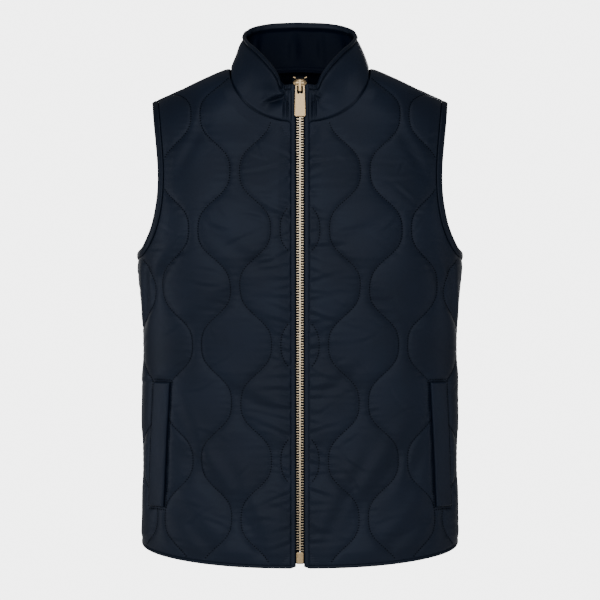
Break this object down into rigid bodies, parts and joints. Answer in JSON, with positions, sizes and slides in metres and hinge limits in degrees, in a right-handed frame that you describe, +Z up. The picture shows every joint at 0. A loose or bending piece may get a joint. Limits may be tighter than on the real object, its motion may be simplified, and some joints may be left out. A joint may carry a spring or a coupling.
{
  "type": "quilted vest",
  "caption": "Quilted zip-front vest with stand collar, bound armholes and hem, slanted welt pockets and a swinging pull tab.",
  "frame": {"origin": "middle of the shoulder line, level with the points where the collar meets the shoulder seams, where a wearer's shoulders and neck hold the vest", "axes": "+Z up; the front faces -Y; +X is the wearer's left"},
  "size_m": [0.4498, 0.2101, 0.7465],
  "materials": {
    "shell_cloth": "dark navy nylon taffeta over thin wadding, soft satin",
    "binding_tape": "dark navy folded nylon binding",
    "zip_tape": "black woven polyester zip tape",
    "zip_metal": "pale champagne plated brass, polished"
  },
  "bodies": {
    "garment": {"front_left": "shell_cloth", "front_right": "shell_cloth", "back": "shell_cloth", "collar": "shell_cloth", "placket_left": "shell_cloth", "placket_right": "shell_cloth", "welt_left": "shell_cloth", "welt_right": "shell_cloth", "collar_binding": "binding_tape", "armhole_binding_left": "binding_tape", "armhole_binding_right": "binding_tape", "hem_binding": "binding_tape", "zip_tape_left": "zip_tape", "zip_tape_right": "zip_tape", "zip_chain": "zip_metal", "zip_stop_left": "zip_metal", "zip_stop_right": "zip_metal", "zip_box": "zip_metal", "zip_slider": "zip_metal"},
    "pull_tab": {"pull_tab": "zip_metal"}
  },
  "joints": [
    {"name": "tab_hinge", "type": "hinge", "parent": "garment", "child": "pull_tab", "pos_m": [0, -0.08145, -0.0268], "axis": [-1, 0, 0], "range_deg": [0, 160]}
  ]
}
